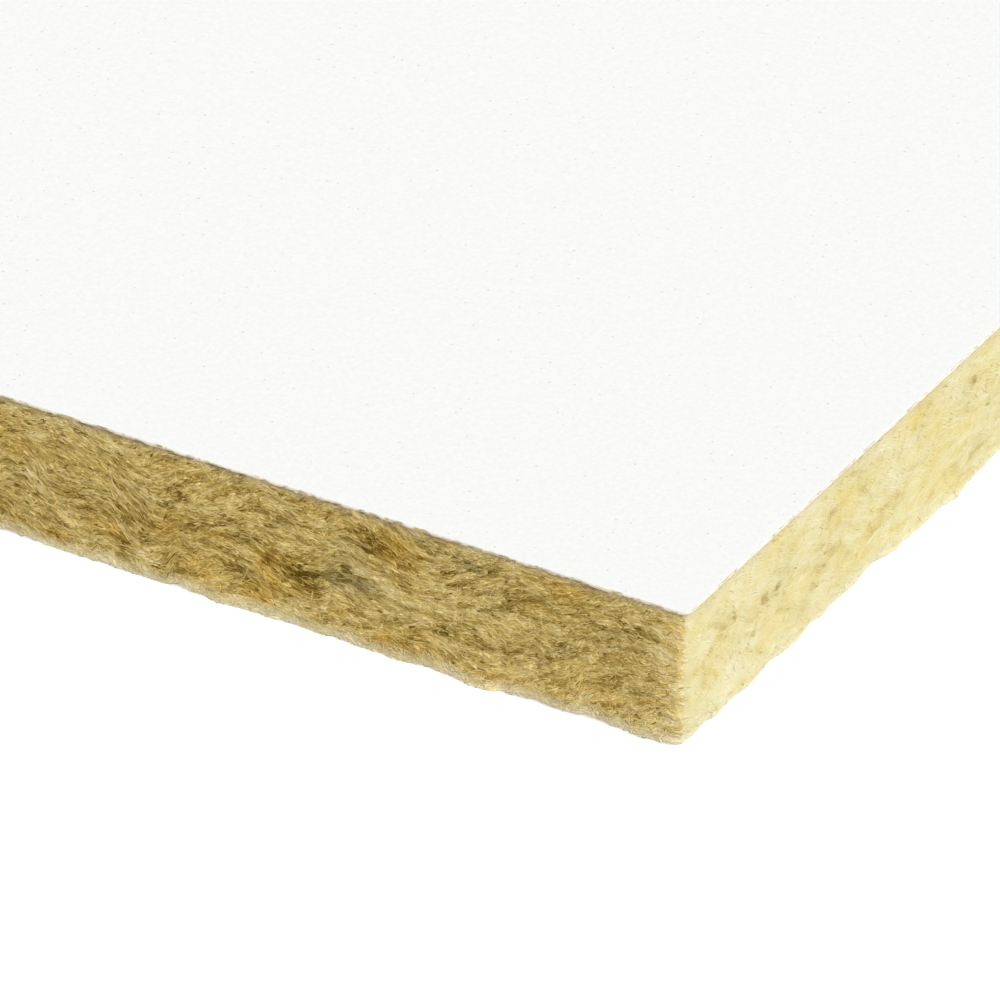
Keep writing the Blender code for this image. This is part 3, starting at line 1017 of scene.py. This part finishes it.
def tone_shift(points, end):
    """How much lighter or darker the wool is in clumps and marks, with painted light along its rear rim
    and painted shade just under the fleece's edge.
    """
    height = points[..., 2]
    tone = between(end, CLUMP_TONE) * swing(points, *WIDE_CLUMP_NOISE)
    tone += between(end, CLOSE_CLUMP_TONE) * swing(points, *CLOSE_CLUMP_NOISE)
    tone += between(end, BROAD_CLUMP_TONE) * swing(points, *BROAD_CLUMP_NOISE)
    # Painted light, paler towards the rear face
    tone += between(end, FRINGE_PAINTED_LIGHT) * (1 - eased(height, *FRINGE_LIGHT_FADE))
    # Painted shade just under the fleece's edge
    glued = eased(height, FLEECE_BOTTOM - GLUE_REACH, FLEECE_BOTTOM)
    tone += between(end, GLUE_LINE_PAINTED_SHADE) * glued
    return tone + MARK_TONE * marked(points, end, FRONT_SHADE, END_SHADE)


def strands(wool, across, up, size, layer):
    """Noise that is drawn out along the fibres' lay, about 0, for tones that run in strands."""
    total = 0
    for way in (-STRAND_STEP, STRAND_STEP):
        along, level = np.broadcast_arrays(across, up)
        for _ in range(STRAND_STEPS):
            total = total + swing(wool.sample(wool.grid, along, level), size, layer)
            lay = wool.sample(wool.lay, along, level)
            along, level = along + way * np.cos(lay), level + way * np.sin(lay)
    return total / (2 * STRAND_STEPS) ** 0.5


def wool_looks(wool, across, up, points, end):
    """How the sawn wool looks at each place, in the order of WOOL_LOOK_ATTRIBUTES, with a painted
    highlight along the rear arris.
    """
    binder, slag, paint, char = stains(points, end)
    streaky = strands(wool, across, up, *STRAND_TONE_NOISE)
    tone = tone_shift(points, end) + between(end, STRAND_TONE) * streaky
    golden = BINDER_EVERYWHERE + STRAND_HUE * strands(wool, across, up, *STRAND_HUE_NOISE)
    golden += between(end, BLOTCH_HUE) * swing(points, *BLOTCH_NOISE)
    # Painted highlight, fading up from the rear arris's rim
    above_rim = points[..., 2] - wool.sample(wool.rim, across, up)
    pale = RIM_HIGHLIGHT_SHARE * np.clip(1 - above_rim / between(end, RIM_HIGHLIGHT_REACH), 0, 1)
    return [tone + CHAR_TONE * char, np.clip(binder + golden, 0, 1), slag, paint, pale]


# The slab and the fleece


def build_wool(wool):
    points, triangles = capped(wool.grid, (REAR_GRID, HIDDEN_GRID), (rear_relief, no_relief))
    piece = mesh_from("sawn_wool_slab", points, triangles, wool_material())
    rest = np.zeros(len(points) - wool.grid.shape[0] * wool.grid.shape[1])
    give_attribute(piece, "end_grain", np.append(wool.end_grain, rest))
    looks = wool_looks(wool, wool.across[:, None], wool.up[None, :], wool.grid, wool.end_grain)
    # Painted shade in the relief's hollows, darker where it sinks deeper
    looks[0] += WOOL_TONE + between(wool.end_grain, CAVITY_PAINTED_SHADE) * wool.cavity
    # The painted highlight fades out over the rear face's margin rows
    pale = looks[-1]
    pale[:, :len(REAR_MARGINS)] *= 1 - np.array(REAR_MARGINS) / REAR_MARGINS[0]
    for key, values, plain in zip(WOOL_LOOK_ATTRIBUTES, looks, (WOOL_TONE, 0, 0, 0, 0)):
        give_attribute(piece, key, np.append(values, rest + plain))
    settle(piece, "stone_wool", "wool_slab")


def build_fleece():
    base, drift, outward = stations(*FLEECE_SPACING)
    end = outward[:, 0] ** 2
    columns, cut_edge = [], []
    for height, inset, cut, frayed in FLEECE_ROWS:
        plan = base + drift * (FLEECE_CORNER_RADIUS + inset)
        ring = np.column_stack([plan, np.full(len(plan), height)])
        fray = sum(depth * swing(ring, *field) for depth, field in FRAYS)
        fray *= frayed * between(end, FRAY_SHARE)
        ring[:, :2] += outward * (between(end, FLEECE_OVERHANG) - inset - fray)[:, None]
        columns.append(ring)
        cut_edge.append(np.full(len(plan), cut))
    grid = np.stack(columns, axis=1)
    points, triangles = capped(grid, (FLEECE_GRID, FLEECE_GRID), (no_relief, no_relief))
    piece = mesh_from("painted_fleece_face", points, triangles, fleece_material())
    rest = np.zeros(len(points) - grid.shape[0] * grid.shape[1])
    # The fleece's end mask picks the lit end colours of its cut edge
    end_grain = np.repeat(eased(end, *FLEECE_LIT_END_STEP), grid.shape[1])
    give_attribute(piece, "cut_edge", np.append(np.stack(cut_edge, axis=1), rest))
    give_attribute(piece, "end_grain", np.append(end_grain, rest))
    settle(piece, "painted_fleece", "facing_fleece")


# Loose fibres


def scattered(rng, count, cells, stretch, rows):
    """Places for fibres on the wool, in the order of the cells that fibre_cells gives them."""
    across, up = rng.uniform(*stretch, count), rng.uniform(*rows, count)
    column = np.floor(cells * (across - stretch[0]) / (stretch[1] - stretch[0]))
    order = np.lexsort((up, column))
    return across[order, None], up[order, None]


def fibre_paths(rng, wool, across, up, style):
    """Widths, steps from end to end, and the bent paths over the wool, kept below its top row."""
    each = (len(across), 1)
    length = style["length"] * np.exp(rng.normal(0, LENGTH_SPREAD, each))
    width = style["width"] * np.exp(rng.normal(0, WIDTH_SPREAD, each))
    heading = wool.sample(wool.lay, across, up) + rng.normal(0, style["jitter"], each)
    wild = rng.random(each) < style["wild"]
    heading = np.where(wild, rng.uniform(-QUARTER_TURN, QUARTER_TURN, each), heading)
    bend = rng.normal(0, style["bend"], each) / length
    bend = np.where(np.abs(bend) < LEAST_BEND, LEAST_BEND, bend)
    steps = np.linspace(-0.5, 0.5, style["rings"] + 2)[None, :]
    turned = heading + bend * (steps * length)
    path_across = across + (np.sin(turned) - np.sin(heading)) / bend
    path_up = up - (np.cos(turned) - np.cos(heading)) / bend
    past_top = np.maximum(path_up - wool.up[-2], 0)
    return width, steps, path_across, np.clip(path_up, wool.up[1], wool.up[-2]), past_top


def fibre_lines(rng, wool, paths, style):
    """Points down the middle of each fibre, on the wool or just off it, and their normals."""
    width, steps, path_across, path_up, past_top = paths
    line = wool.sample(wool.grid, path_across, path_up)
    normal = unit(wool.sample(wool.normal, path_across, path_up))
    rise = style["rise"] * rng.random(width.shape) ** RISE_POWER
    lift = (rise + style["sink"]) * (1 - (2 * steps) ** 2) - style["sink"]
    loose = rng.random(width.shape) < style["loose"]
    flare = style["flare"] * rng.random(width.shape) * (steps + 0.5) ** 2
    line = line + normal * np.where(loose, lift + flare, lift)[..., None]
    line[..., 2] = np.minimum(line[..., 2] + past_top, TILE_TOP - width / 2)
    return line, normal


def spindle_points(line, normal, width, steps, flat):
    """Points of a closed spindle round each line: a tip, rings of points, and a tip."""
    forward = unit(np.gradient(line, axis=1))
    sideways = unit(np.cross(forward, normal))
    outward = np.cross(sideways, forward)
    radius = (width / 2 * np.sqrt(1 - (2 * steps) ** 2))[:, 1:-1, None, None]
    turns = QUARTER_TURN + np.arange(RING_POINTS) * 2 * math.pi / RING_POINTS
    ring = (
        sideways[:, 1:-1, None, :] * np.cos(turns)[None, None, :, None]
        + outward[:, 1:-1, None, :] * (flat * np.sin(turns))[None, None, :, None]
    )
    rings = (line[:, 1:-1, None, :] + ring * radius).reshape(len(line), -1, 3)
    points = np.concatenate([line[:, :1], rings, line[:, -1:]], axis=1)
    points[..., 2] = np.maximum(points[..., 2], LEAST_HEIGHT)
    return points


def spindle_triangles(rings):
    """Triangles of one spindle."""
    faces = []
    last = 1 + RING_POINTS * (rings - 1)
    for side in range(RING_POINTS):
        after = (side + 1) % RING_POINTS
        faces.append((0, 1 + side, 1 + after))
        for start in range(1, last, RING_POINTS):
            a, b = start + side, start + after
            faces.append((a, a + RING_POINTS, b))
            faces.append((b, a + RING_POINTS, b + RING_POINTS))
        faces.append((last + side, last + RING_POINTS, last + after))
    return np.array(faces)


def fibre_cells(count, cells, rings):
    """Places on the unit square for every fibre's points, one small square for each fibre."""
    index = np.arange(count)
    corner = np.stack([index // cells, index % cells], axis=1)
    along = np.concatenate([[0.0], np.repeat(np.arange(1, rings + 1), RING_POINTS), [rings + 1.0]])
    over = np.concatenate([[0.5], np.tile([CELL_MARGIN, 1 - CELL_MARGIN, 0.5], rings), [0.5]])
    within = np.stack([CELL_MARGIN + (1 - 2 * CELL_MARGIN) * along / (rings + 1), over], axis=1)
    return ((corner[:, None] + within[None]) / cells).reshape(-1, 2)


def build_fibres(wool, material, name, seed, count, stretch, style):
    """Closed spindles on the wool between two distances round the tile."""
    rng = np.random.default_rng(seed)
    cells = math.ceil(count ** 0.5)
    across, up = scattered(rng, count, cells, stretch, style["up"])
    paths = fibre_paths(rng, wool, across, up, style)
    width, steps, path_across, path_up, _ = paths
    line, normal = fibre_lines(rng, wool, paths, style)
    points = spindle_points(line, normal, width, steps, style["flat"])
    size = points.shape[1]
    starts = (np.arange(count) * size)[:, None, None]
    triangles = (spindle_triangles(style["rings"])[None] + starts).reshape(-1, 3)
    piece = mesh_from(name, points.reshape(-1, 3), triangles, material)
    middle = wool.sample(wool.grid, across, up)
    looks = wool_looks(wool, across, up, middle, wool.sample(wool.end_grain, across, up))
    chance = rng.normal(0, 1, (count, 1))
    looks[0] += style["tone"] + style["spread"] * (chance - style["skew"] * (chance ** 2 - 1))
    for key, values in zip(WOOL_LOOK_ATTRIBUTES, looks):
        give_attribute(piece, key, np.repeat(values.ravel(), size))
    end = wool.sample(wool.end_grain, path_across, path_up)
    inner = np.repeat(end[:, 1:-1], RING_POINTS, axis=1)
    give_attribute(piece, "end_grain", np.hstack([end[:, :1], inner, end[:, -1:]]))
    give_map(piece, fibre_cells(count, cells, style["rings"]))
    settle(piece, "stone_wool")


def build_all_fibres(wool):
    material = fibre_material()
    corner = wool.corner_at
    front = (corner - FRONT_FIBRE_RUN, corner)
    end = (corner, corner + END_FIBRE_RUN)
    for name, seed, count, stretch, style in (
        ("tufts_front", 11, 9500, front, TUFT_STYLE),
        ("fibres_front", 12, 14000, front, FIBRE_STYLE),
        ("tufts_end", 13, 4500, end, END_TUFT_STYLE),
        ("fibres_end", 14, 6000, end, END_FIBRE_STYLE),
        ("fringe_front", 15, 3200, front, FRINGE_STYLE),
        ("fringe_end", 16, 1800, end, END_FRINGE_STYLE),
        ("strands_front", 19, 1500, front, STRAND_STYLE),
        ("rim_front", 17, 1000, front, RIM_STYLE),
        ("rim_end", 18, 300, end, END_RIM_STYLE),
    ):
        build_fibres(wool, material, name, seed, count, stretch, style)
    run = (wool.round_trip - (FRONT_FIBRE_RUN + END_FIBRE_RUN)) / FAR_PIECES
    for k in range(FAR_PIECES):
        start = corner + END_FIBRE_RUN + k * run
        stretch = (start, start + run)
        build_fibres(wool, material, f"fibres_far_{k + 1}", FAR_SEED + k, FAR_FIBRES, stretch, FAR_STYLE)


# Stage and camera


def direction(azimuth, elevation):
    """Unit vector towards the camera or a lamp. Azimuth 0 is on the -Y side, 90 on the +X side."""
    a, e = math.radians(azimuth), math.radians(elevation)
    return Vector((math.sin(a) * math.cos(e), -math.cos(a) * math.cos(e), math.sin(e)))


def placed(name, data, towards):
    """A lamp or camera that looks back along the direction it stands in."""
    made = bpy.data.objects.new(name, data)
    made.rotation_mode = "QUATERNION"
    made.rotation_quaternion = (-towards).to_track_quat("-Z", "Y")
    bpy.context.scene.collection.objects.link(made)
    return made


def build_floor():
    corners = [(x, y, 0) for x, y in ((-1, -1), (1, -1), (1, 1), (-1, 1))]
    points = np.array(corners, float) * FLOOR_HALF
    floor = mesh_from("floor", points, np.array([(0, 1, 2), (0, 2, 3)]), floor_material())


def build_light():
    lamp = bpy.data.lights.new("key", "SUN")
    lamp.energy = KEY_STRENGTH
    lamp.angle = math.radians(KEY_ANGLE)
    placed("key", lamp, direction(KEY_AZIMUTH, KEY_ELEVATION))
    world = bpy.data.worlds.new("studio")
    bpy.context.scene.world = world
    nodes = Nodes(world, "Background")
    nodes.feed(nodes.inputs["Color"], WHITE)
    nodes.feed(nodes.inputs["Strength"], nodes.span(direct_rays(nodes), WORLD_STRENGTH, 1.0))


def build_camera():
    data = bpy.data.cameras.new("camera")
    data.lens = CAMERA_LENS
    data.clip_end = CAMERA_CLIP_END
    back = direction(CAMERA_AZIMUTH, CAMERA_ELEVATION)
    camera = placed("camera", data, back)
    camera.location = CAMERA_TARGET + back * CAMERA_DISTANCE
    bpy.context.scene.camera = camera


bpy.context.scene.view_settings.view_transform = "Standard"
surface = Wool()
build_wool(surface)
build_fleece()
build_all_fibres(surface)
build_floor()
build_light()
build_camera()
